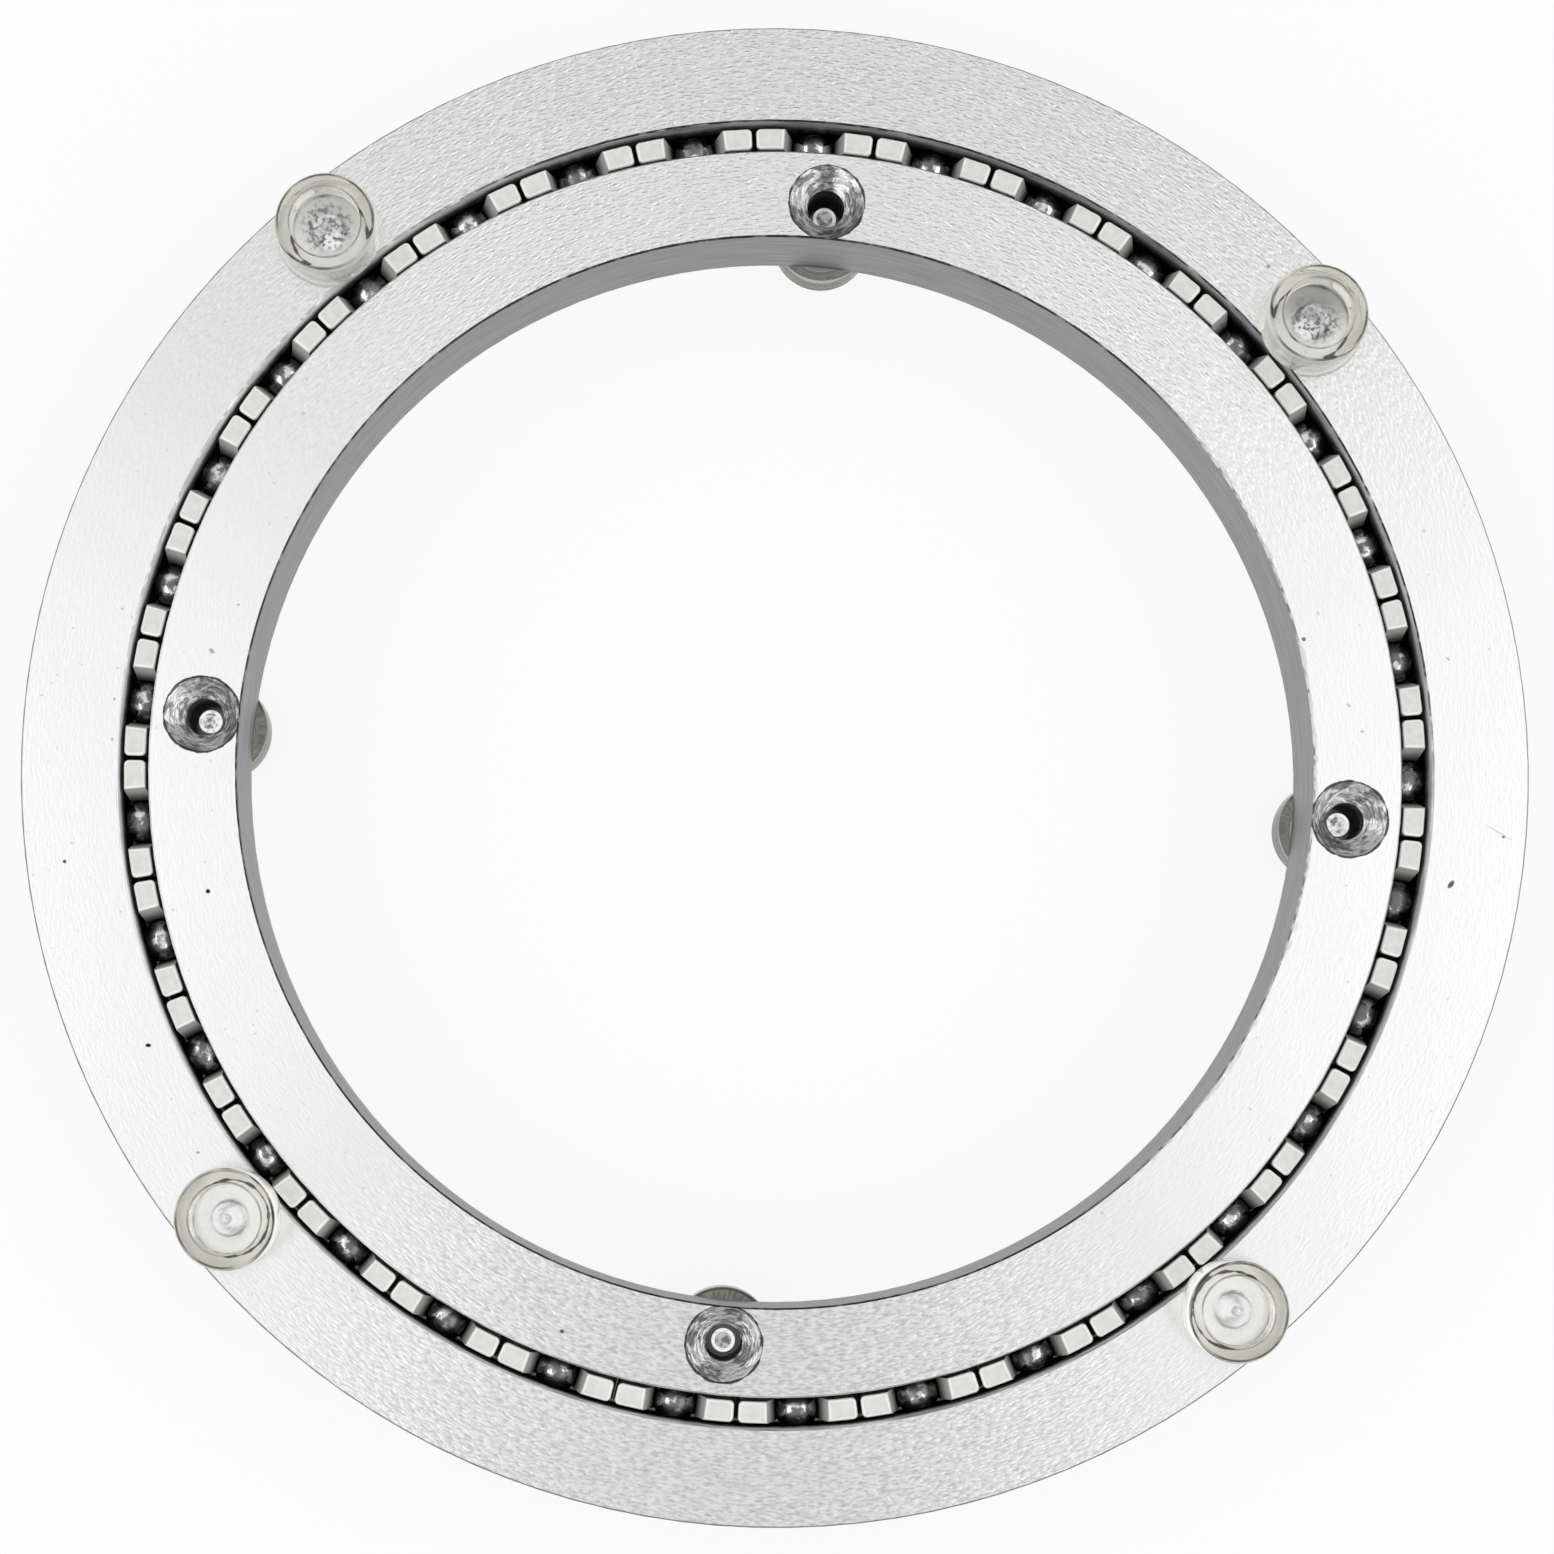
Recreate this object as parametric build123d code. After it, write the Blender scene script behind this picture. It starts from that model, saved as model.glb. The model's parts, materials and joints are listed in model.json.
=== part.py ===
from build123d import *
import math
import os

# A ring bearing for a turntable: two turned aluminium rings with steel balls between them.
# Millimetres, +Z up. The origin is on the bearing's axis, at the level that the bottom pads stand on.

# Rings, from the bore outwards
BORE_DIAMETER = 100.0
INNER_RING_WIDTH = 8.2
RACE_GAP = 2.85
OUTER_RING_WIDTH = 8.95
RING_HEIGHT = 8.5
RING_EDGE_CHAMFER = 0.15

# Balls
BALL_COUNT = 33
BALL_DIAMETER = 4.0
BALL_CLEARANCE = 0.1
FIRST_BALL_ANGLE = 4.35

# Plastic retainers, one round each ball
RETAINER_SIDE_GAP = 0.42
RETAINER_SETBACK = 0.7
HORN_END_GAP = 0.4
FOOT_END_GAP = 0.02
HORN_CORNER_ROUND = 0.45
HORN_EDGE_ROUND = 0.3
POCKET_CLEARANCE = 0.1
MOUTH_FLARE = 0.85
MOUTH_LIP = 0.1

# Screw holes, countersunk on the inner ring's top and on the outer ring's underside
HOLES_PER_RING = 4
SCREW_HOLE_DIAMETER = 3.5
COUNTERSINK_DIAMETER = 7.1
COUNTERSINK_ANGLE = 90.0
INNER_HOLE_TO_BORE = 3.5
OUTER_HOLE_TO_RACE = 4.15
FIRST_INNER_HOLE_ANGLE = 0.0
FIRST_OUTER_HOLE_ANGLE = 45.0

# Clear push-in pads, in the plain end of every screw hole
PAD_DIAMETER = 9.4
PAD_HEIGHT = 3.6
PAD_EDGE_ROUND = 0.5
PAD_RECESS_DIAMETER = 6.4
PAD_RECESS_DEPTH = 1.4
PAD_RECESS_ROUND = 0.3
STEM_LENGTH = 3.9
STEM_GRIP_LENGTH = 1.6
STEM_CLEARANCE = 0.05
STEM_TIP_DIAMETER = 2.4
STEM_TIP_ROUND = 0.4

# Radii and levels that follow from the sizes above
bore_radius = BORE_DIAMETER / 2
inner_ring_radius = bore_radius + INNER_RING_WIDTH
race_radius = inner_ring_radius + RACE_GAP
outer_ring_radius = race_radius + OUTER_RING_WIDTH
pitch_radius = inner_ring_radius + RACE_GAP / 2
inner_hole_radius = bore_radius + INNER_HOLE_TO_BORE
outer_hole_radius = race_radius + OUTER_HOLE_TO_RACE
ring_bottom = PAD_HEIGHT
ring_top = ring_bottom + RING_HEIGHT
ball_level = ring_bottom + RING_HEIGHT / 2
ball_radius = BALL_DIAMETER / 2
ball_pitch = 360 / BALL_COUNT


def around_axis(count, first_angle):
    """Turns about the bearing's axis, evenly spaced from the first angle."""
    return [Rot(0, 0, first_angle + index * 360 / count) for index in range(count)]


def rounded_corner(section, radius, across, up):
    """A section with the corner at that distance from the axis and that level rounded."""
    corner = section.vertices().sort_by_distance(Vector(across, 0, up))[0]
    return fillet([corner], radius)


def race_ring(inner_radius, outer_radius):
    """A turned ring, with the ball groove in the wall that faces the other ring."""
    middle = Pos((inner_radius + outer_radius) / 2, ball_level)
    section = Plane.XZ * middle * Rectangle(outer_radius - inner_radius, RING_HEIGHT)
    section = chamfer(section.vertices(), RING_EDGE_CHAMFER)
    section -= Plane.XZ * Pos(pitch_radius, ball_level) * Circle(ball_radius + BALL_CLEARANCE)
    return revolve(section, Axis.Z)


def screw_hole():
    """The tool for one screw hole, countersunk upwards, with its middle at half the ring's height."""
    hole_radius = SCREW_HOLE_DIAMETER / 2
    slope = math.tan(math.radians(COUNTERSINK_ANGLE / 2))
    end = RING_HEIGHT
    face = RING_HEIGHT / 2
    cone_foot = face - (COUNTERSINK_DIAMETER / 2 - hole_radius) / slope
    cone_mouth = hole_radius + (end - cone_foot) * slope
    outline = Polyline(
        (0, -end), (hole_radius, -end), (hole_radius, cone_foot), (cone_mouth, end), (0, end), close=True
    )
    return revolve(Plane.XZ * make_face(outline), Axis.Z)


def drilled(ring, turns, hole_radius, tilt):
    """A ring with a screw hole at each of the turns, its countersink tilted from upwards."""
    holes = [turn * Pos(hole_radius, 0, ball_level) * Rot(tilt, 0, 0) * screw_hole() for turn in turns]
    return ring - holes


def race_block(end_gap, low, high):
    """A block in the race over one ball's pitch on the +X side, with half the gap to its neighbour at each end."""
    width = RACE_GAP - 2 * RETAINER_SIDE_GAP
    sweep = ball_pitch - math.degrees(end_gap / pitch_radius)
    section = Plane.XZ * Pos(pitch_radius, (low + high) / 2) * Rectangle(width, high - low)
    return Rot(0, 0, -sweep / 2) * revolve(section, Axis.Z, revolution_arc=sweep)


def retainer():
    """One retainer: a foot that pushes its neighbours, two horns, a pocket for its ball and a flared mouth above."""
    half_height = RING_HEIGHT / 2 - RETAINER_SETBACK
    horns = race_block(HORN_END_GAP, ball_level, ball_level + half_height)
    horns = fillet(horns.edges().filter_by(Axis.Z), HORN_CORNER_ROUND)
    block = race_block(FOOT_END_GAP, ball_level - half_height, ball_level) + horns
    neck = ball_radius - MOUTH_LIP
    top_half = ball_radius + MOUTH_FLARE
    lean = (top_half - neck) / half_height
    reach = RING_HEIGHT
    mouth = Polyline(
        (-neck, 0), (neck, 0), (neck + lean * reach, reach), (-neck - lean * reach, reach), close=True
    )
    ball_place = Pos(pitch_radius, 0, ball_level)
    block -= ball_place * extrude(Plane.YZ * make_face(mouth), amount=RACE_GAP, both=True)
    block -= ball_place * Sphere(ball_radius + POCKET_CLEARANCE)
    horn_edges = block.edges().group_by(Axis.Z)[-1]
    return fillet(horn_edges, HORN_EDGE_ROUND)


def pad():
    """A push-in pad: a recessed round head standing on z = 0, with its tapered stem below."""
    head_radius = PAD_DIAMETER / 2
    recess_radius = PAD_RECESS_DIAMETER / 2
    recess_floor = PAD_HEIGHT - PAD_RECESS_DEPTH
    grip_radius = SCREW_HOLE_DIAMETER / 2 - STEM_CLEARANCE
    tip_radius = STEM_TIP_DIAMETER / 2
    outline = Polyline(
        (0, -STEM_LENGTH),
        (tip_radius, -STEM_LENGTH),
        (grip_radius, -STEM_GRIP_LENGTH),
        (grip_radius, 0),
        (head_radius, 0),
        (head_radius, PAD_HEIGHT),
        (recess_radius, PAD_HEIGHT),
        (recess_radius, recess_floor),
        (0, recess_floor),
        close=True,
    )
    section = Plane.XZ * make_face(outline)
    section = rounded_corner(section, STEM_TIP_ROUND, tip_radius, -STEM_LENGTH)
    section = rounded_corner(section, PAD_EDGE_ROUND, head_radius, PAD_HEIGHT)
    section = rounded_corner(section, PAD_RECESS_ROUND, recess_radius, recess_floor)
    return revolve(section, Axis.Z)


def write(name, piece):
    """One node's STEP file."""
    export_step(piece, os.path.join("parts", name + ".step"))


os.makedirs("parts", exist_ok=True)

inner_turns = around_axis(HOLES_PER_RING, FIRST_INNER_HOLE_ANGLE)
outer_turns = around_axis(HOLES_PER_RING, FIRST_OUTER_HOLE_ANGLE)
ball_turns = around_axis(BALL_COUNT, FIRST_BALL_ANGLE)

write("inner_ring", drilled(race_ring(bore_radius, inner_ring_radius), inner_turns, inner_hole_radius, 0))
write("outer_ring", drilled(race_ring(race_radius, outer_ring_radius), outer_turns, outer_hole_radius, 180))

one_retainer = retainer()
write("ball_retainers", Compound([turn * one_retainer for turn in ball_turns]))

for number, turn in enumerate(ball_turns, start=1):
    write(f"ball_{number:02d}", turn * Pos(pitch_radius, 0, ball_level) * Sphere(ball_radius))

one_pad = pad()
for number, turn in enumerate(inner_turns, start=1):
    write(f"bottom_pad_{number}", turn * Pos(inner_hole_radius, 0, ring_bottom) * Rot(180, 0, 0) * one_pad)
for number, turn in enumerate(outer_turns, start=1):
    write(f"top_pad_{number}", turn * Pos(outer_hole_radius, 0, ring_top) * one_pad)
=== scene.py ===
import json
import math

import bmesh
import bpy
from mathutils import Matrix, Vector


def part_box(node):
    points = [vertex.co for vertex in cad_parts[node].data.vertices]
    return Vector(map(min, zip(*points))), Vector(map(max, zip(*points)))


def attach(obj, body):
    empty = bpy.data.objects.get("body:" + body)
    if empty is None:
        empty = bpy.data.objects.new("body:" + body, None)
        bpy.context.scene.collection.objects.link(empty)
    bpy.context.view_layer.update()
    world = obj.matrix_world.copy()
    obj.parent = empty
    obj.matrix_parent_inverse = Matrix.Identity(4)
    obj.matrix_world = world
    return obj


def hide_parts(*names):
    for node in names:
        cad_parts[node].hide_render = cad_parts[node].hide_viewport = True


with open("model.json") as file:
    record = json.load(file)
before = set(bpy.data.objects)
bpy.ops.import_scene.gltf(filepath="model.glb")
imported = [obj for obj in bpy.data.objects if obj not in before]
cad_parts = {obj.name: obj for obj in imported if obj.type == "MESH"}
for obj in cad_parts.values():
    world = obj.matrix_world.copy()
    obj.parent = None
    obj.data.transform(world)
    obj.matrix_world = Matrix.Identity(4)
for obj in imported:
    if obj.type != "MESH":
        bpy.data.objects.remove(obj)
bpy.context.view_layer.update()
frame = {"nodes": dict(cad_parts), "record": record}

# A flat ring bearing for a turntable, dressed for its photograph. Metres, +Z up, axis on the origin.

MM = 0.001

# Levels and radii of the solids
outer_low, outer_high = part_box("outer_ring")
ring_bottom = outer_low.z
ring_top = outer_high.z
ball_level = (ring_bottom + ring_top) / 2
half_height = ring_top - ball_level
inner_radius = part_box("inner_ring")[1].x
retainer_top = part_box("ball_retainers")[1].z
BORE_RADIUS = 50.0 * MM
RACE_GAP = 2.85 * MM
race_middle = inner_radius + RACE_GAP / 2
GROOVE_HALF_HEIGHT = 1.5 * MM

# Screw holes of the rings
mount_sizes = {mount["name"]: mount["dims"] for mount in frame["record"]["mounts"]}
inner_hole_circle = mount_sizes["inner_ring_screws"]["pcd_mm"] / 2 * MM
outer_hole_circle = mount_sizes["outer_ring_screws"]["pcd_mm"] / 2 * MM
screw_hole_radius = mount_sizes["inner_ring_screws"]["hole_r_mm"] * MM
FIRST_INNER_HOLE_ANGLE = 0.0
FIRST_OUTER_HOLE_ANGLE = math.radians(45)
COUNTERSINK_RADIUS = 3.55 * MM

# Where the faces' grain, in bumps and in painted shade, sets in and where it is full, as y over the
# distance from the axis
GRAIN_ABOVE = (0.35, 0.95)
GRAIN_BELOW = (-0.72, -0.96)

# Tones of the brightest face, of the dirt and painted shade on edges, and of the dirt in dents and the
# painted shade on countersink rims
BRIGHTEST_FACE = 0.98
EDGE_DIRT_AND_SHADE = 0.05
DENT_DIRT_AND_RIM_SHADE = 0.03

# Marks on the top faces: distance from the axis, angle about it, length, width, direction and darkness
OUTER_RING_MARKS = (
    (63.4 * MM, 209.3, 0.55 * MM, 0.36 * MM, 5, 1.0),
    (63.5 * MM, 355.3, 0.90 * MM, 0.45 * MM, 56, 0.9),
    (66.4 * MM, 192.9, 0.36 * MM, 0.36 * MM, 0, 0.9),
    (67.8 * MM, 359.7, 0.34 * MM, 0.30 * MM, 0, 0.7),
    (67.4 * MM, 0.0, 2.80 * MM, 0.12 * MM, -26, 0.4),
    (66.1 * MM, 50.8, 0.42 * MM, 0.36 * MM, 0, 0.55),
    (63.4 * MM, 14.4, 0.44 * MM, 0.22 * MM, -30, 0.4),
    (61.7 * MM, 179.4, 0.32 * MM, 0.24 * MM, 80, 0.5),
    (61.6 * MM, 182.9, 0.36 * MM, 0.22 * MM, 80, 0.45),
    (64.1 * MM, 219.1, 0.32 * MM, 0.26 * MM, 0, 0.6),
    (62.5 * MM, 171.6, 0.28 * MM, 0.24 * MM, 0, 0.35),
)
INNER_RING_MARKS = (
    (53.8 * MM, 197.7, 0.44 * MM, 0.44 * MM, 0, 1.0),
    (55.7 * MM, 254.5, 0.40 * MM, 0.38 * MM, 0, 0.85),
    (53.5 * MM, 173.6, 0.60 * MM, 0.34 * MM, -40, 0.55),
    (50.6 * MM, 18.9, 0.42 * MM, 0.42 * MM, 0, 0.8),
    (54.6 * MM, 8.7, 0.34 * MM, 0.26 * MM, 0, 0.45),
    (53.6 * MM, 11.4, 0.46 * MM, 0.24 * MM, -45, 0.4),
    (52.2 * MM, 168.4, 0.32 * MM, 0.28 * MM, 0, 0.35),
)

# Clear pads
PAD_EDGE_ROUND = 0.5 * MM
PAD_FOOT_ROUND = 0.15 * MM
PAD_LIP_ROUND = 0.15 * MM
PAD_RECESS_RADIUS = 3.2 * MM
PAD_RECESS_DEPTH = 1.4 * MM
PAD_RECESS_ROUND = 0.12 * MM
PAD_EDGE_LINE = 4.42 * MM
PAD_LIP_LEVEL = 3.4 * MM
PAD_GATE_RADIUS = 0.45 * MM
PAD_GATE_HEIGHT = 0.2 * MM
PAD_SEAT_GAP = 0.03 * MM
STEM_CLEARANCE = 0.05 * MM
STEM_GRIP_LENGTH = 1.6 * MM
STEM_TIP_RADIUS = 1.2 * MM
STEM_TIP_ROUND = 0.4 * MM
STEM_DIMPLE_RADIUS = 0.78 * MM
STEM_DIMPLE_DEPTH = 0.35 * MM
PAD_TURN_STEPS = 96
ROUND_STEPS = 5
MERGE_DISTANCE = 0.001 * MM
SHARP_ANGLE = math.radians(35)

# Painted shade lines on the two edges of a pad's rim: distance from the pad's axis, reach and tone
PAD_SHADE_LINES = (
    (PAD_EDGE_LINE, 0.17 * MM, 0.05),
    (PAD_RECESS_RADIUS + PAD_LIP_ROUND, 0.11 * MM, 0.20),
)

# How much of the floor's white is its own, so that its shadows stay faint, and less of it near the race
FLOOR_HALF_WIDTH = 3.0
FLOOR_GLOW = 0.87
FLOOR_DARK_GLOW = 0.10
FLOOR_DARK_REACH = (5.0 * MM, 8.0 * MM)

# Sky, which is brightest from the height SKY_FULL_LEVEL upwards
SKY_AT_HORIZON = 0.25
SKY_OVERHEAD = 0.97
SKY_FULL_LEVEL = 0.8

# Two soft lamps, one on each side
LAMP_ASIDE = 0.45
LAMP_ALONG = -0.10
LAMP_HEIGHT = 0.40
LAMP_SIZE = (1.0, 0.5)
LAMP_RADIANCE = 1.0

# Camera, fitted to the edges of the rings in the photograph
PHOTO_WIDTH = 1554
CAMERA_PLACE = (-5.40 * MM, -33.28 * MM, 253.0 * MM)
CAMERA_TILT = math.radians(3.0)
CAMERA_SIDE = math.radians(-0.3)
CAMERA_ROLL = math.radians(5.22)
CAMERA_FOCUS = 2612
CAMERA_SHIFT = (0.0502, 0.1320)
SENSOR_WIDTH = 36.0


class Finish:
    """A material's nodes, with short calls for the ones that the finishes below use."""

    def __init__(self, name):
        self.material = bpy.data.materials.new(name)
        self.material.use_nodes = True
        self.tree = self.material.node_tree
        self.tree.nodes.clear()

    def node(self, kind, **settings):
        made = self.tree.nodes.new("ShaderNode" + kind)
        for name, value in settings.items():
            setattr(made, name, value)
        return made

    def feed(self, socket, value):
        """Links an output to a socket, or sets a plain value on it."""
        if isinstance(value, bpy.types.NodeSocket):
            self.tree.links.new(value, socket)
        else:
            socket.default_value = value

    def maths(self, operation, first, second=0.0, clamp=False):
        made = self.node("Math", operation=operation, use_clamp=clamp)
        self.feed(made.inputs[0], first)
        self.feed(made.inputs[1], second)
        return made.outputs[0]

    def both(self, first, second, *others):
        """The product of masks, which is 1 only where all of them are."""
        share = self.maths("MULTIPLY", first, second)
        for other in others:
            share = self.maths("MULTIPLY", share, other)
        return share

    def off(self, value, middle):
        """Distance of a value from a middle one."""
        return self.maths("ABSOLUTE", self.maths("SUBTRACT", value, middle))

    def vector(self, operation, first, second=None):
        made = self.node("VectorMath", operation=operation)
        self.feed(made.inputs[0], first)
        if second is not None:
            self.feed(made.inputs[1], second)
        return made.outputs["Value" if operation == "LENGTH" else "Vector"]

    def place(self):
        return self.node("TexCoord").outputs["Object"]

    def facing(self):
        """The surface's own normal, in the object's frame."""
        return self.node("TexCoord").outputs["Normal"]

    def split(self, vector):
        made = self.node("SeparateXYZ")
        self.feed(made.inputs[0], vector)
        return made.outputs[0], made.outputs[1], made.outputs[2]

    def join(self, x, y, z):
        made = self.node("CombineXYZ")
        self.feed(made.inputs[0], x)
        self.feed(made.inputs[1], y)
        self.feed(made.inputs[2], z)
        return made.outputs[0]

    def turned(self, vector, angle):
        made = self.node("VectorRotate", rotation_type="Z_AXIS")
        self.feed(made.inputs["Vector"], vector)
        made.inputs["Angle"].default_value = angle
        return made.outputs[0]

    def noise(self, vector, scale=1.0, detail=2.0):
        made = self.node("TexNoise")
        self.feed(made.inputs["Vector"], vector)
        made.inputs["Scale"].default_value = scale
        made.inputs["Detail"].default_value = detail
        return made.outputs[0]

    def ranged(self, value, low, high, to_low=0.0, to_high=1.0, smooth=True):
        made = self.node("MapRange", interpolation_type="SMOOTHSTEP" if smooth else "LINEAR")
        self.feed(made.inputs["Value"], value)
        made.inputs["From Min"].default_value = low
        made.inputs["From Max"].default_value = high
        made.inputs["To Min"].default_value = to_low
        made.inputs["To Max"].default_value = to_high
        return made.outputs[0]

    def blended(self, share, first, second, data_type="RGBA"):
        """A mix of two colours, numbers or vectors."""
        made = self.node("Mix", data_type=data_type)
        live = [socket for socket in made.inputs if socket.enabled]
        self.feed(live[0], share)
        self.feed(live[1], first)
        self.feed(live[2], second)
        return [socket for socket in made.outputs if socket.enabled][0]

    def bump(self, height, distance):
        made = self.node("Bump")
        self.feed(made.inputs["Height"], height)
        made.inputs["Distance"].default_value = distance
        return made.outputs[0]

    def principled(self, **sockets):
        made = self.node("BsdfPrincipled")
        for name, value in sockets.items():
            self.feed(made.inputs[name.replace("_", " ")], value)
        return made.outputs[0]

    def output(self, shader):
        made = self.node("OutputMaterial")
        self.feed(made.inputs["Surface"], shader)
        return self.material


def grey(value):
    return (value, value, value, 1.0)


# Finishes


def from_nearest_hole(finish, place, hole_circle, first_angle):
    """Distance from the axis of the nearest of a ring's four screw holes."""
    x, y, _ = finish.split(finish.turned(place, -first_angle))
    ax = finish.maths("ABSOLUTE", x)
    ay = finish.maths("ABSOLUTE", y)
    outwards = finish.maths("SUBTRACT", finish.maths("MAXIMUM", ax, ay), hole_circle)
    sideways = finish.maths("MINIMUM", ax, ay)
    return finish.vector("LENGTH", finish.join(outwards, sideways, 0.0))


def streaked(finish, across, x, y, width, length, detail=1.0):
    """Noise in streaks of that width and length, which follow circles of the distance given."""
    place = finish.join(
        finish.maths("DIVIDE", across, width),
        finish.maths("DIVIDE", x, length),
        finish.maths("DIVIDE", y, length),
    )
    return finish.noise(place, detail=detail)


def marked(finish, place, marks):
    """Where the small dents and scratches of a top face are."""
    total = 0.0
    for distance, angle, length, width, direction, darkness in marks:
        turn = math.radians(angle)
        centre = (distance * math.cos(turn), distance * math.sin(turn), ring_top)
        local = finish.turned(finish.vector("SUBTRACT", place, centre), -math.radians(direction))
        shrunk = finish.vector("DIVIDE", local, (length / 2, width / 2, width / 2))
        mark = finish.ranged(finish.vector("LENGTH", shrunk), 1.2, 0.7, 0.0, darkness)
        total = finish.maths("MAXIMUM", mark, total)
    return total


def turned_aluminium(name, holes, covered_radius, hole_painted_tone, middle_tone, painted_light_lean, marks):
    """Aluminium with turned faces, smooth under pads, dull walls, painted light and shade on the race
    walls and in the screw holes, and rough countersinks.

    The faces' tone is the middle one, with painted light: raised by the lean at +Y and lowered by it at
    -Y.
    """
    finish = Finish(name)
    place = finish.place()
    x, y, z = finish.split(place)
    across = finish.vector("LENGTH", finish.join(x, y, 0.0))
    normal_z = finish.maths("ABSOLUTE", finish.split(finish.facing())[2])
    flat = finish.ranged(normal_z, 0.90, 0.97)
    level = finish.ranged(normal_z, 0.30, 0.45)
    sloped = finish.maths("SUBTRACT", level, flat, clamp=True)
    patches = finish.noise(place, scale=800.0)

    # Where the holes, the countersinks and the race are
    from_hole = from_nearest_hole(finish, place, *holes)
    cone = finish.both(finish.maths("LESS_THAN", from_hole, COUNTERSINK_RADIUS + 0.05 * MM), sloped)
    hole = finish.maths("LESS_THAN", from_hole, screw_hole_radius + 0.1 * MM)
    race = finish.ranged(finish.off(across, race_middle), 3.2 * MM, 2.2 * MM)

    # Turning marks: streaks on the faces, stronger at +Y and -Y, lines round walls, chatter in cones
    streaks = streaked(finish, across, x, y, 0.23 * MM, 0.7 * MM)
    upwards = finish.maths("DIVIDE", y, across)
    uncovered = finish.ranged(from_hole, covered_radius, covered_radius + 0.3 * MM, 0.1, 1.0)
    relief_above = finish.ranged(upwards, *GRAIN_ABOVE, 1.5, 11.0)
    relief_below = finish.ranged(upwards, *GRAIN_BELOW, 1.5, 6.0)
    relief = finish.both(finish.maths("MAXIMUM", relief_above, relief_below), uncovered)
    wall_streaks = streaked(finish, z, x, y, 0.16 * MM, 6.0 * MM, detail=2.0)
    wall_lines = finish.ranged(wall_streaks, 0.3, 0.7)
    cone_streaks = streaked(finish, from_hole, x, y, 0.36 * MM, 0.8 * MM, detail=2.0)
    chatter = finish.ranged(cone_streaks, 0.33, 0.67)

    # Tones of faces, walls and cones. The faces' grain is real, but its contrast, stronger at +Y and -Y,
    # is painted light and shade
    shade_above = finish.ranged(upwards, *GRAIN_ABOVE, 0.05, 0.50)
    shade_below = finish.ranged(upwards, *GRAIN_BELOW, 0.05, 0.85)
    shade = finish.both(finish.maths("MAXIMUM", shade_above, shade_below), uncovered)
    # Painted light: the faces' tone is a little lighter towards +Y and darker towards -Y
    lean = finish.both(upwards, upwards, upwards, painted_light_lean)
    plain_tone = finish.maths("ADD", lean, middle_tone)
    grain = finish.both(finish.maths("SUBTRACT", streaks, 0.5), shade)
    face_tone = finish.maths("MINIMUM", finish.maths("ADD", plain_tone, grain), BRIGHTEST_FACE)
    plain_wall = finish.blended(wall_lines, grey(0.26), grey(0.36))
    over_balls = finish.maths("SUBTRACT", z, ball_level)
    lifted = finish.ranged(over_balls, GROOVE_HALF_HEIGHT, 2.7 * GROOVE_HALF_HEIGHT)
    # Painted light and shade on the race walls: darker towards +Y, lighter towards -Y, near white at -X,
    # lighter at +X, and much darker deep down in the groove
    grease = finish.ranged(y, -race_middle, race_middle, 0.75, 0.36, smooth=False)
    race_wall_by_y = finish.maths("MULTIPLY", grease, finish.ranged(wall_lines, 0.0, 1.0, 0.6, 1.4))
    painted_lit_left = finish.ranged(x, -0.2 * race_middle, -0.9 * race_middle)
    race_wall = finish.blended(painted_lit_left, race_wall_by_y, 0.95, "FLOAT")
    painted_lit_right = finish.ranged(x, 0.6 * race_middle, 0.98 * race_middle, 0.0, 0.6)
    lit_right_wall = finish.ranged(wall_lines, 0.0, 1.0, 0.65, 1.0)
    race_wall = finish.blended(painted_lit_right, race_wall, lit_right_wall, "FLOAT")
    race_wall = finish.maths("MULTIPLY", race_wall, finish.ranged(lifted, 0.0, 1.0, 0.08, 1.0))
    wall_tone = finish.blended(race, plain_wall, race_wall)
    # Painted tone on the screw holes' walls: painted shade, near black, in the inner ring, and painted
    # light, near white, in the outer ring under its pads
    wall_tone = finish.blended(hole, wall_tone, grey(hole_painted_tone))
    worn = finish.ranged(finish.noise(place, scale=420.0), 0.40, 0.60)
    bare = finish.ranged(finish.blended(0.5, worn, chatter, "FLOAT"), 0.25, 0.75)
    cone_tone = finish.blended(bare, grey(0.28), grey(0.86))
    tone = finish.blended(flat, finish.blended(cone, wall_tone, cone_tone), face_tone)

    # Dark, broken lines of dirt and painted shade on the edges of the bore and the race, the race's
    # lines only towards +Y and fainter on the painted lit -X side, and a hand-filed band at the bore's
    # +X
    bore_edge = finish.maths("LESS_THAN", across, BORE_RADIUS + 0.16 * MM)
    near_face = finish.ranged(finish.off(z, ball_level), half_height - 0.35 * MM, half_height)
    bore_line = finish.both(bore_edge, near_face, finish.ranged(patches, 0.25, 0.55, 0.2, 1.0))
    tone = finish.blended(bore_line, tone, grey(EDGE_DIRT_AND_SHADE))
    from_race = finish.maths("SUBTRACT", across, race_middle)
    race_edge = finish.both(
        finish.maths("GREATER_THAN", from_race, 0.0),
        finish.maths("LESS_THAN", from_race, RACE_GAP / 2 + 0.2 * MM),
        finish.ranged(y, -0.1 * race_middle, 0.3 * race_middle),
    )
    edge_line = finish.both(finish.maths("MAXIMUM", bore_edge, race_edge), sloped)
    weaker = finish.ranged(painted_lit_left, 0.0, 1.0, 1.0, 0.5)
    edge_line = finish.both(edge_line, finish.ranged(patches, 0.30, 0.55), weaker)
    tone = finish.blended(edge_line, tone, grey(EDGE_DIRT_AND_SHADE))
    file_marks = finish.noise(place, scale=350.0, detail=3.0)
    band_width = finish.ranged(file_marks, 0.3, 0.7, 0.1 * MM, 0.55 * MM)
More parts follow.
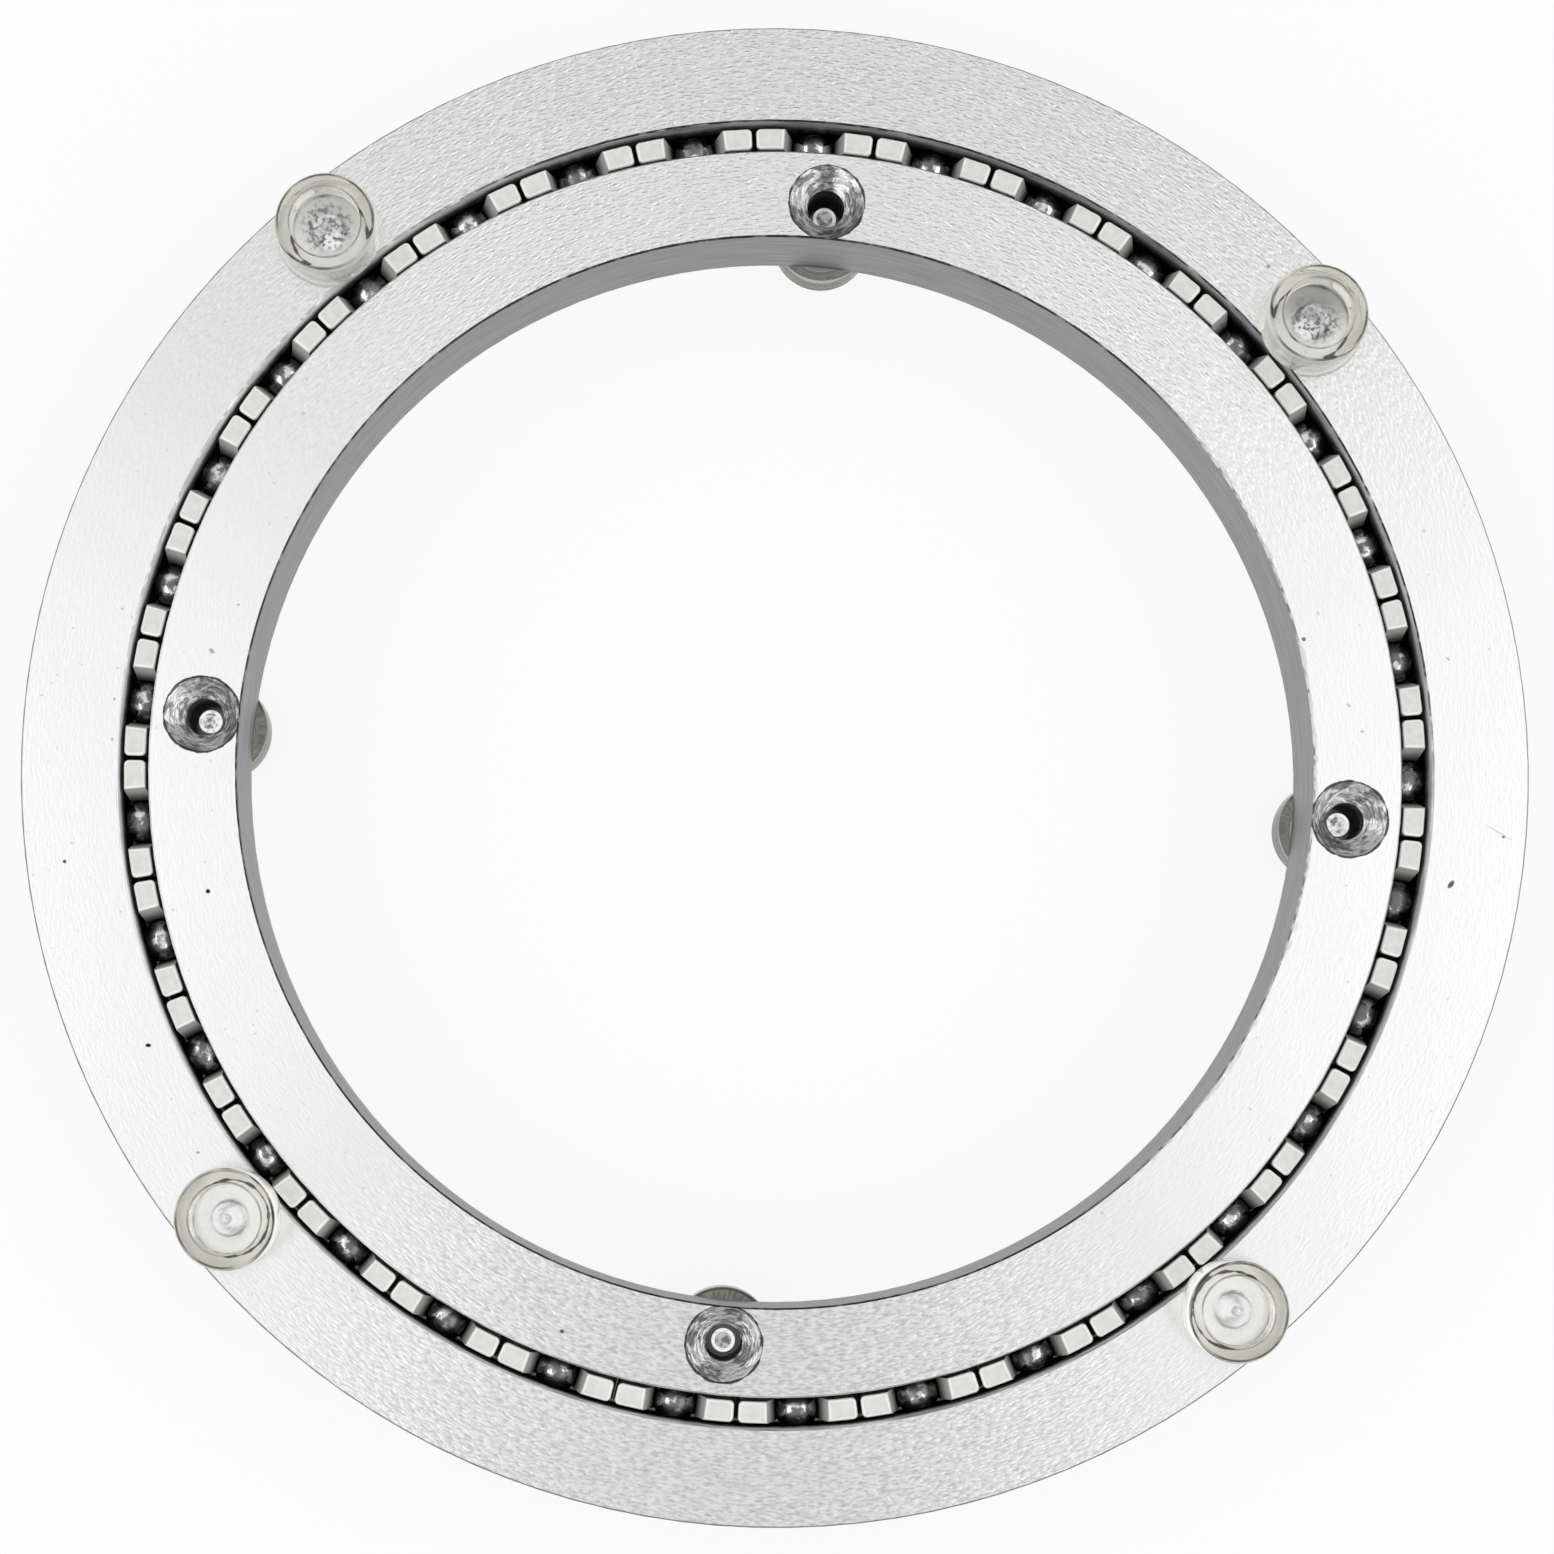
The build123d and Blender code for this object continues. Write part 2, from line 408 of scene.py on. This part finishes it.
    in_band = finish.maths("LESS_THAN", finish.maths("SUBTRACT", across, BORE_RADIUS), band_width)
    band = finish.both(in_band, finish.ranged(x, 0.6 * BORE_RADIUS, 0.8 * BORE_RADIUS), level)
    tone = finish.blended(finish.both(band, finish.ranged(patches, 0.3, 0.6)), tone, grey(0.72))

    # Dents, faint specks, and the raised rim of each countersink, painted dark as dirt and as the shade
    # on its burr
    tone = finish.blended(marked(finish, place, marks), tone, grey(DENT_DIRT_AND_RIM_SHADE))
    specks = finish.ranged(finish.noise(place, scale=1500.0, detail=1.0), 0.73, 0.80, 0.0, 0.3)
    tone = finish.blended(finish.both(specks, flat), tone, grey(0.25))
    rim_reach = finish.ranged(finish.noise(place, scale=900.0), 0.35, 0.65, 0.03 * MM, 0.14 * MM)
    from_rim = finish.off(from_hole, COUNTERSINK_RADIUS)
    rim = finish.both(finish.maths("LESS_THAN", from_rim, rim_reach), level)
    tone = finish.blended(finish.maths("MULTIPLY", rim, 0.9), tone, grey(DENT_DIRT_AND_RIM_SHADE))

    # Heights of the marks, and the lay of the cut, which the highlights follow
    on_walls = finish.blended(cone, wall_lines, finish.maths("MULTIPLY", chatter, 3.0), "FLOAT")
    height = finish.blended(flat, on_walls, finish.maths("MULTIPLY", streaks, relief), "FLOAT")
    height = finish.maths("ADD", height, finish.maths("MULTIPLY", rim, 2.0))
    radial = finish.vector("NORMALIZE", finish.join(x, y, 0.0))
    lay = finish.blended(flat, (0.0, 0.0, 1.0), radial, "VECTOR")
    turn = finish.node("VectorTransform", vector_type="VECTOR")
    turn.convert_from = "OBJECT"
    turn.convert_to = "WORLD"
    finish.feed(turn.inputs[0], lay)

    matt = finish.both(race, lifted, finish.ranged(level, 0.0, 1.0, 1.0, 0.0))
    shader = finish.principled(
        Base_Color=tone,
        Metallic=finish.ranged(matt, 0.0, 1.0, 1.0, 0.1),
        Roughness=finish.blended(flat, finish.blended(cone, 0.40, 0.33, "FLOAT"), 0.37, "FLOAT"),
        Anisotropic=0.75,
        Tangent=turn.outputs[0],
        Normal=finish.bump(height, 0.016 * MM),
    )
    return finish.output(shader)


def polished_steel():
    """Bright balls with smears of grease."""
    finish = Finish("polished_steel")
    place = finish.place()
    film = finish.noise(place, scale=1100.0, detail=3.0)
    shader = finish.principled(
        Base_Color=finish.blended(finish.ranged(film, 0.47, 0.60), grey(0.20), grey(0.85)),
        Metallic=1.0,
        Roughness=finish.ranged(film, 0.46, 0.58, 0.30, 0.06),
        Normal=finish.bump(film, 0.05 * MM),
    )
    return finish.output(shader)


def cream_plastic():
    """Cream plastic, greyish on the horns' tops, with a painted highlight on their rounded edges and
    painted shade that darkens sides and slopes with depth.
    """
    finish = Finish("cream_plastic")
    place = finish.place()
    _, _, z = finish.split(place)
    normal_z = finish.split(finish.facing())[2]
    grain = finish.noise(place, scale=1400.0, detail=3.0)
    mottle = finish.ranged(grain, 0.3, 0.7)
    top_tint = finish.blended(mottle, (0.67, 0.68, 0.64, 1.0), (0.74, 0.75, 0.71, 1.0))
    depth = finish.maths("SUBTRACT", retainer_top, z)
    # Painted shade: sides and slopes darken with depth below the horns' tops
    deep_shade = (0.03, 0.03, 0.026, 1.0)
    side_tint = finish.blended(finish.ranged(depth, 0.1 * MM, 0.6 * MM), (0.16, 0.16, 0.15, 1.0), deep_shade)
    slope_tint = finish.blended(
        finish.ranged(depth, 0.9 * MM, 3.0 * MM), (0.56, 0.56, 0.53, 1.0), (0.13, 0.13, 0.12, 1.0)
    )
    tint = finish.blended(finish.ranged(normal_z, 0.10, 0.22), side_tint, slope_tint)
    # Painted highlight: pale rounded edges between the tops and the sides
    tint = finish.blended(finish.ranged(normal_z, 0.35, 0.75), tint, (0.92, 0.92, 0.88, 1.0))
    tint = finish.blended(finish.ranged(normal_z, 0.96, 0.998), tint, top_tint)
    # Painted shade: near black deeper than 3 mm below the tops
    tint = finish.blended(finish.maths("GREATER_THAN", depth, 3.0 * MM), tint, deep_shade)
    tint = finish.blended(finish.ranged(normal_z, -0.5, -0.9), tint, top_tint)
    shader = finish.principled(
        Base_Color=tint,
        Roughness=finish.ranged(grain, 0.3, 0.7, 0.38, 0.52),
        Subsurface_Weight=0.1,
        Subsurface_Radius=(0.6, 0.5, 0.35),
        Subsurface_Scale=0.2 * MM,
        Normal=finish.bump(grain, 0.01 * MM),
    )
    return finish.output(shader)


def clear_rubber(name, hole_circle, first_angle, ior, edge_tint, stem_tint, upper_shade_tint=None):
    """Soft clear plastic with a tinted rim, painted shade lines on its edges, ripples in its recess, and
    painted glints and shade over the stem.

    Lamps shine through. Pads under a ring also have painted shade: a dark tint for faces that look up,
    and dark, patchy stem tips, lighter towards +X and -X.
    """
    finish = Finish(name)
    place = finish.place()
    x, y, z = finish.split(place)
    from_hole = from_nearest_hole(finish, place, hole_circle, first_angle)
    in_ring = finish.maths("LESS_THAN", finish.off(z, ball_level), half_height - 0.05 * MM)
    outside = finish.maths("GREATER_THAN", finish.off(z, ball_level), half_height + 1.0 * MM)
    recess = finish.both(outside, finish.maths("LESS_THAN", from_hole, PAD_RECESS_RADIUS - 0.1 * MM))
    over_stem = finish.ranged(from_hole, screw_hole_radius + 0.6 * MM, screw_hole_radius)

    # The rim's tint deepens towards its edge, and painted shade draws broken lines on the two edges of
    # the rim
    on_rim = finish.ranged(from_hole, 3.0 * MM, 3.5 * MM)
    tint = finish.blended(on_rim, (1.0, 1.0, 0.995, 1.0), (0.90, 0.89, 0.835, 1.0))
    tint = finish.blended(finish.ranged(from_hole, PAD_EDGE_LINE, 4.7 * MM), tint, edge_tint)
    # Painted shade on faces that look up, for pads under a ring
    if upper_shade_tint:
        looks_up = finish.ranged(finish.split(finish.facing())[2], 0.1, 0.5)
        tint = finish.blended(finish.both(on_rim, looks_up), tint, upper_shade_tint)
    line_breaks = finish.ranged(finish.noise(place, scale=260.0), 0.30, 0.55, 0.25, 1.0)
    on_lip = finish.maths("GREATER_THAN", finish.off(z, ball_level), half_height + PAD_LIP_LEVEL)
    for line, reach, tone in PAD_SHADE_LINES:
        ring = finish.ranged(finish.off(from_hole, line), reach, 0.4 * reach)
        tint = finish.blended(finish.both(ring, line_breaks, on_lip), tint, grey(tone))

    # Painted glints and shade on the crumples in the recess over the stem, more on the pads at +Y, and
    # painted shade on one side there
    painted_glint_share = finish.ranged(y, -0.3 * hole_circle, 0.3 * hole_circle, 0.12, 1.0)
    painted_glint_share = finish.both(painted_glint_share, recess, finish.ranged(from_hole, 3.0 * MM, 1.7 * MM))
    glint_and_shade_tone = finish.ranged(finish.noise(place, scale=2300.0, detail=1.0), 0.38, 0.56, 0.04, 1.0)
    tint = finish.blended(painted_glint_share, tint, glint_and_shade_tone)
    shade_share = finish.ranged(x, -0.3 * hole_circle, 0.3 * hole_circle, 0.45, 1.0)
    far_side = finish.ranged(y, 0.68 * hole_circle, 0.74 * hole_circle)
    shade_share = finish.both(shade_share, recess, far_side)
    tint = finish.blended(shade_share, tint, grey(0.28))

    # The stem's flank and tip; under a ring, the flank's near black tint and the tip's dark patches are
    # painted shade
    stem_side = finish.both(in_ring, finish.maths("GREATER_THAN", from_hole, STEM_TIP_RADIUS - 0.1 * MM))
    tint = finish.blended(stem_side, tint, stem_tint)
    if upper_shade_tint:
        in_dimple = finish.both(in_ring, finish.maths("LESS_THAN", from_hole, STEM_DIMPLE_RADIUS))
        stem_tip_shade = finish.ranged(finish.noise(place, scale=1500.0), 0.4, 0.6, 0.04, 0.40)
        sideways = finish.maths("ABSOLUTE", x)
        # Painted light: the tips are lighter towards +X and -X
        painted_light_aside = finish.ranged(sideways, 0.4 * hole_circle, 0.9 * hole_circle, 1.0, 2.4)
        tint = finish.blended(in_dimple, tint, finish.maths("MULTIPLY", stem_tip_shade, painted_light_aside))

    # Ripples in the recess, rougher over the stem, and slow waves elsewhere
    ripples = streaked(finish, from_hole, x, y, 0.22 * MM, 1.2 * MM)
    crumples = finish.both(over_stem, finish.noise(place, scale=1300.0))
    floor = finish.maths("ADD", ripples, finish.maths("MULTIPLY", crumples, 1.5))
    waves = finish.maths("MULTIPLY", finish.noise(place, scale=400.0), 0.3)
    clear = finish.principled(
        Base_Color=tint,
        Roughness=finish.blended(recess, 0.10, 0.40, "FLOAT"),
        IOR=ior,
        Transmission_Weight=1.0,
        Normal=finish.bump(finish.blended(recess, waves, floor, "FLOAT"), 0.05 * MM),
    )
    through = finish.node("BsdfTransparent")
    through.inputs["Color"].default_value = (0.94, 0.935, 0.91, 1.0)
    mixed = finish.node("MixShader")
    finish.feed(mixed.inputs[0], finish.node("LightPath").outputs["Is Shadow Ray"])
    finish.feed(mixed.inputs[1], clear)
    finish.feed(mixed.inputs[2], through.outputs[0])
    return finish.output(mixed.outputs[0])


# Clear pads


def arc(centre, radius, start, end):
    """Points along a round stretch of an outline, from one angle to the other in degrees."""
    points = []
    for step in range(ROUND_STEPS + 1):
        angle = math.radians(start + (end - start) * step / ROUND_STEPS)
        points.append((centre[0] + radius * math.cos(angle), centre[1] + radius * math.sin(angle)))
    return points


def pad_outline(head_radius, head_height, stem_length):
    """Half section of a push-in pad, from the dimple in the stem's tip to the middle of the recess."""
    grip = screw_hole_radius - STEM_CLEARANCE
    recess_floor = head_height - PAD_RECESS_DEPTH
    tip = (STEM_TIP_RADIUS - STEM_TIP_ROUND, STEM_TIP_ROUND - stem_length)
    foot = (head_radius - PAD_FOOT_ROUND, PAD_SEAT_GAP + PAD_FOOT_ROUND)
    edge = (head_radius - PAD_EDGE_ROUND, head_height - PAD_EDGE_ROUND)
    lip = (PAD_RECESS_RADIUS + PAD_LIP_ROUND, head_height - PAD_LIP_ROUND)
    recess_corner = (PAD_RECESS_RADIUS - PAD_RECESS_ROUND, recess_floor + PAD_RECESS_ROUND)
    outline = [(0.0, STEM_DIMPLE_DEPTH - stem_length), (STEM_DIMPLE_RADIUS, -stem_length)]
    outline += arc(tip, STEM_TIP_ROUND, -90, -5)
    outline += [(grip, -STEM_GRIP_LENGTH), (grip, PAD_SEAT_GAP)]
    outline += arc(foot, PAD_FOOT_ROUND, -90, 0)
    outline += arc(edge, PAD_EDGE_ROUND, 0, 90)
    outline += arc(lip, PAD_LIP_ROUND, 90, 180)
    outline += arc(recess_corner, PAD_RECESS_ROUND, 0, -90)
    outline += arc((0.0, recess_floor), PAD_GATE_RADIUS, 0, 80)
    outline += [(0.0, recess_floor + PAD_GATE_HEIGHT)]
    return outline


def finished(name, mesh_shape, material, body, slot, *nodes):
    """A piece from its modelled shape, riding on its body in place of the solids that it stands for."""
    bmesh.ops.remove_doubles(mesh_shape, verts=mesh_shape.verts[:], dist=MERGE_DISTANCE)
    bmesh.ops.recalc_face_normals(mesh_shape, faces=mesh_shape.faces[:])
    for face in mesh_shape.faces:
        face.smooth = True
    mesh = bpy.data.meshes.new(name)
    mesh_shape.to_mesh(mesh)
    mesh_shape.free()
    mesh.set_sharp_from_angle(angle=SHARP_ANGLE)
    mesh.materials.append(material)
    piece = bpy.data.objects.new(name, mesh)
    bpy.context.scene.collection.objects.link(piece)
    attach(piece, body)
    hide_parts(*nodes)


def clear_pad(node, body, face_level, upwards, material):
    """One push-in pad on a ring's face, with its stem in the screw hole."""
    low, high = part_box(node)
    middle = (low + high) / 2
    head_radius = (high.x - low.x) / 2
    head_height = high.z - face_level if upwards else face_level - low.z
    stem_length = face_level - low.z if upwards else high.z - face_level
    shape = bmesh.new()
    outline = pad_outline(head_radius, head_height, stem_length)
    points = [shape.verts.new((across, 0.0, up)) for across, up in outline]
    edges = [shape.edges.new(pair) for pair in zip(points, points[1:])]
    bmesh.ops.spin(
        shape, geom=points + edges, axis=(0, 0, 1), cent=(0, 0, 0), angle=math.tau, steps=PAD_TURN_STEPS,
        use_merge=True,
    )
    flip = Matrix.Scale(1.0 if upwards else -1.0, 4, Vector((0, 0, 1)))
    shift = Matrix.Translation((middle.x, middle.y, face_level))
    bmesh.ops.transform(shape, matrix=shift @ flip, verts=shape.verts[:])
    finished(node + "_clear", shape, material, body, "clear_rubber", node)


# Stage


def pale_floor():
    """A wide white floor that shows white, but keeps the shadow, which is deepest under the rings."""
    shape = bmesh.new()
    bmesh.ops.create_grid(shape, x_segments=1, y_segments=1, size=FLOOR_HALF_WIDTH)
    mesh = bpy.data.meshes.new("floor")
    shape.to_mesh(mesh)
    shape.free()
    floor = bpy.data.objects.new("floor", mesh)
    bpy.context.scene.collection.objects.link(floor)
    finish = Finish("white_floor")
    paper = finish.node("BsdfDiffuse")
    paper.inputs["Color"].default_value = grey(0.90)
    glow = finish.node("Emission")
    glow.inputs["Color"].default_value = grey(1.0)
    glow.inputs["Strength"].default_value = 0.99
    path = finish.node("LightPath")
    across = finish.vector("LENGTH", finish.place())
    from_race = finish.off(across, race_middle)
    seen_share = finish.ranged(from_race, *FLOOR_DARK_REACH, FLOOR_DARK_GLOW, FLOOR_GLOW)
    seen = finish.maths("MULTIPLY", path.outputs["Is Camera Ray"], seen_share)
    beyond = finish.maths("MAXIMUM", path.outputs["Is Glossy Ray"], path.outputs["Is Transmission Ray"])
    beyond = finish.maths("MULTIPLY", beyond, FLOOR_GLOW)
    mixed = finish.node("MixShader")
    finish.feed(mixed.inputs[0], finish.maths("MAXIMUM", seen, beyond))
    finish.feed(mixed.inputs[1], paper.outputs[0])
    finish.feed(mixed.inputs[2], glow.outputs[0])
    from_below = finish.node("MixShader")
    finish.feed(from_below.inputs[0], finish.node("NewGeometry").outputs["Backfacing"])
    finish.feed(from_below.inputs[1], mixed.outputs[0])
    finish.feed(from_below.inputs[2], finish.node("BsdfTransparent").outputs[0])
    mesh.materials.append(finish.output(from_below.outputs[0]))


def studio_world():
    """A soft sky, brighter overhead than at the horizon, and white where the camera sees it."""
    world = bpy.data.worlds.new("studio")
    bpy.context.scene.world = world
    world.use_nodes = True
    tree = world.node_tree
    tree.nodes.clear()
    coordinates = tree.nodes.new("ShaderNodeTexCoord")
    parts = tree.nodes.new("ShaderNodeSeparateXYZ")
    tree.links.new(coordinates.outputs["Generated"], parts.inputs[0])
    level = tree.nodes.new("ShaderNodeMapRange")
    level.inputs["From Min"].default_value = 0.0
    level.inputs["From Max"].default_value = SKY_FULL_LEVEL
    level.inputs["To Min"].default_value = SKY_AT_HORIZON
    level.inputs["To Max"].default_value = SKY_OVERHEAD
    tree.links.new(parts.outputs[2], level.inputs["Value"])
    soft = tree.nodes.new("ShaderNodeBackground")
    tree.links.new(level.outputs[0], soft.inputs["Strength"])
    white = tree.nodes.new("ShaderNodeBackground")
    white.inputs["Color"].default_value = grey(1.0)
    white.inputs["Strength"].default_value = 1.0
    path = tree.nodes.new("ShaderNodeLightPath")
    mixed = tree.nodes.new("ShaderNodeMixShader")
    tree.links.new(path.outputs["Is Camera Ray"], mixed.inputs[0])
    tree.links.new(soft.outputs[0], mixed.inputs[1])
    tree.links.new(white.outputs[0], mixed.inputs[2])
    output = tree.nodes.new("ShaderNodeOutputWorld")
    tree.links.new(mixed.outputs[0], output.inputs["Surface"])


def soft_lamp(name, place, target, width, height, radiance):
    """A rectangular soft lamp that faces the target, with an even brightness over its face."""
    data = bpy.data.lights.new(name, "AREA")
    data.shape = "RECTANGLE"
    data.size = width
    data.size_y = height
    data.energy = radiance * width * height * math.pi
    lamp = bpy.data.objects.new(name, data)
    bpy.context.scene.collection.objects.link(lamp)
    lamp.location = place
    away = Vector(place) - Vector(target)
    lamp.rotation_euler = away.to_track_quat("Z", "Y").to_euler()


def photo_camera():
    """The camera that shows the part as the photograph does."""
    data = bpy.data.cameras.new("photo_camera")
    data.sensor_width = SENSOR_WIDTH
    data.lens = SENSOR_WIDTH * CAMERA_FOCUS / PHOTO_WIDTH
    data.shift_x, data.shift_y = CAMERA_SHIFT
    data.clip_start = 0.01
    camera = bpy.data.objects.new("photo_camera", data)
    bpy.context.scene.collection.objects.link(camera)
    camera.location = CAMERA_PLACE
    camera.rotation_euler = (CAMERA_TILT, CAMERA_SIDE, CAMERA_ROLL)
    bpy.context.scene.camera = camera


def dress(node, material):
    """Gives a solid its finish in every material slot."""
    piece = frame["nodes"][node]
    if not piece.material_slots:
        piece.data.materials.append(material)
    for holder in piece.material_slots:
        holder.material = material


outer_holes = (outer_hole_circle, FIRST_OUTER_HOLE_ANGLE)
inner_holes = (inner_hole_circle, FIRST_INNER_HOLE_ANGLE)
outer_aluminium = turned_aluminium(
    "outer_ring_aluminium",
    outer_holes,
    covered_radius=4.8 * MM,
    # painted light: hole walls near white under the pads
    hole_painted_tone=0.95,
    middle_tone=0.893,
    # painted light: faces lighter towards +Y, darker towards -Y
    painted_light_lean=0.03,
    marks=OUTER_RING_MARKS,
)
inner_aluminium = turned_aluminium(
    "inner_ring_aluminium",
    inner_holes,
    covered_radius=3.3 * MM,
    # painted shade: hole walls near black
    hole_painted_tone=0.03,
    middle_tone=0.918,
    # painted light: faces lighter towards +Y, darker towards -Y
    painted_light_lean=0.07,
    marks=INNER_RING_MARKS,
)
dress("outer_ring", outer_aluminium)
dress("inner_ring", inner_aluminium)
dress("ball_retainers", cream_plastic())
steel = polished_steel()
for node in frame["nodes"]:
    if node.startswith("ball_") and node != "ball_retainers":
        dress(node, steel)

top_rubber = clear_rubber(
    "clear_rubber_top",
    *outer_holes,
    ior=1.35,
    edge_tint=(0.80, 0.79, 0.73, 1.0),
    stem_tint=(0.94, 0.94, 0.92, 1.0),
)
bottom_rubber = clear_rubber(
    "clear_rubber_bottom",
    *inner_holes,
    ior=1.1,
    # Painted shade under the ring: dark rim edges, near black stem flanks, dark faces that look up
    edge_tint=(0.24, 0.235, 0.20, 1.0),
    stem_tint=grey(0.01),
    upper_shade_tint=(0.10, 0.10, 0.085, 1.0),
)
for node in frame["nodes"]:
    if node.startswith("top_pad_"):
        clear_pad(node, "turning_ring", ring_top, True, top_rubber)
    if node.startswith("bottom_pad_"):
        clear_pad(node, "standing_ring", ring_bottom, False, bottom_rubber)

pale_floor()
studio_world()
turn = Matrix.Rotation(CAMERA_ROLL, 4, "Z")
for side, name in ((-1, "left_lamp"), (1, "right_lamp")):
    lamp_place = turn @ Vector((side * LAMP_ASIDE, LAMP_ALONG, LAMP_HEIGHT))
    soft_lamp(name, lamp_place, (0, 0, 0), *LAMP_SIZE, LAMP_RADIANCE)
photo_camera()
bpy.context.scene.view_settings.view_transform = "Standard"
